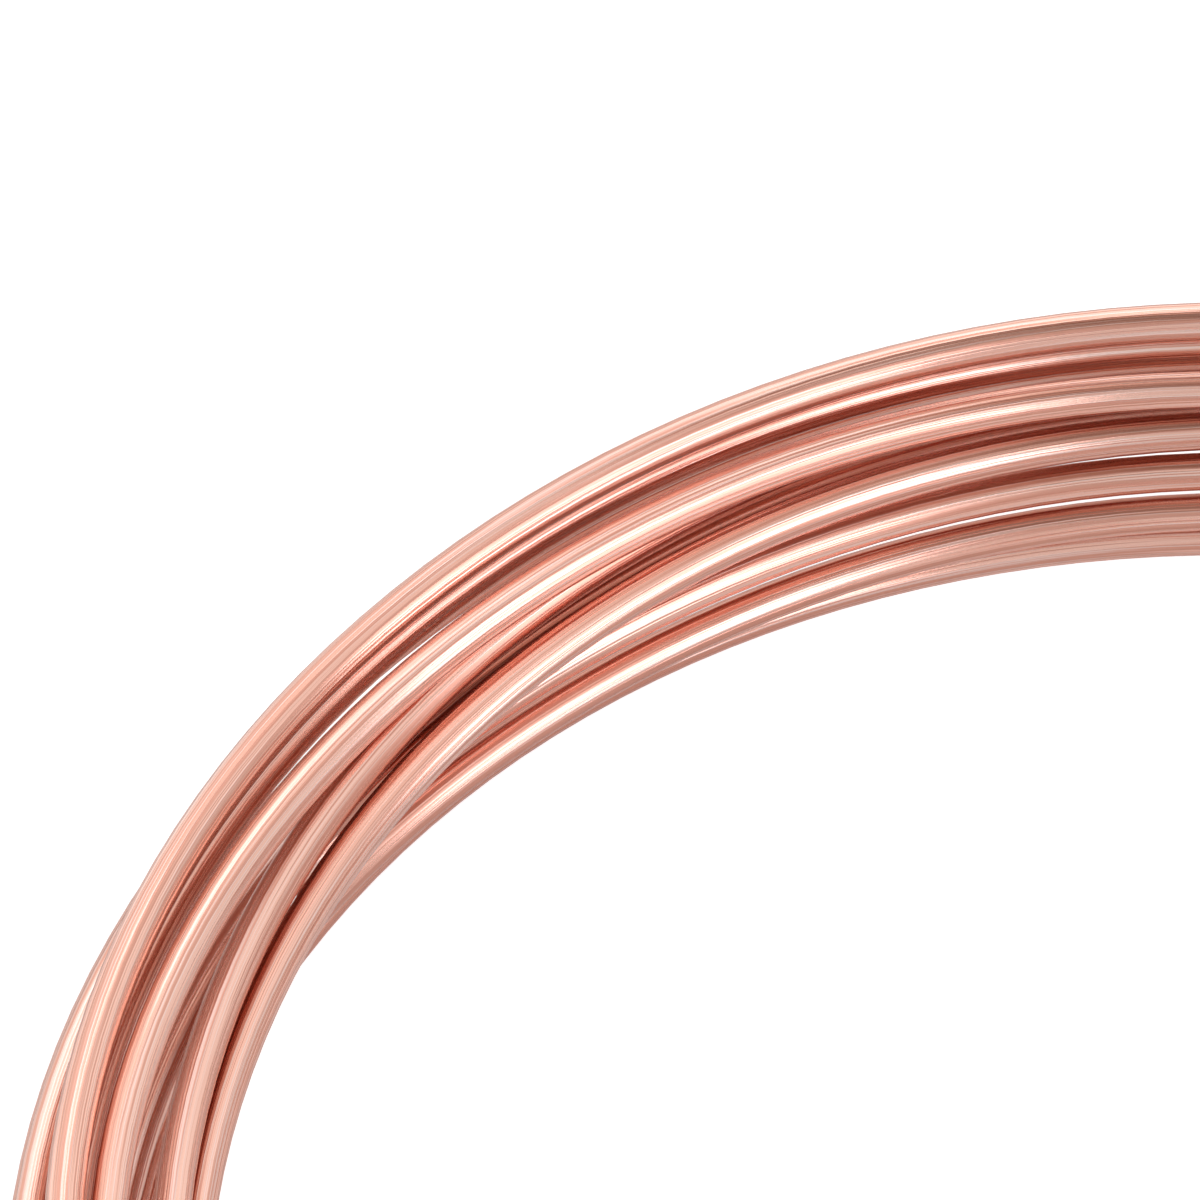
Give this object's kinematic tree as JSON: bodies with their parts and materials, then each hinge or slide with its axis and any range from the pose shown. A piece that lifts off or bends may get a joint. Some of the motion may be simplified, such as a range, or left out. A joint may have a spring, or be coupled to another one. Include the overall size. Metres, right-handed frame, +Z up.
{
  "type": "copper tube coil",
  "caption": "Loose hand-wound coil of small-bore soft copper tube, laid flat, with plain cut ends and an open bore from end to end.",
  "frame": {"origin": "on the ground under the middle of the coil's bounding box", "axes": "+Z up along the coil's axis; the tube is wound anticlockwise seen from above; both cut ends lie on the +X side"},
  "size_m": [0.2026, 0.2026, 0.023],
  "materials": {
    "copper": "bare drawn copper, bright and lightly streaked along the tube"
  },
  "bodies": {
    "root": {"tube": "copper"}
  },
  "joints": []
}
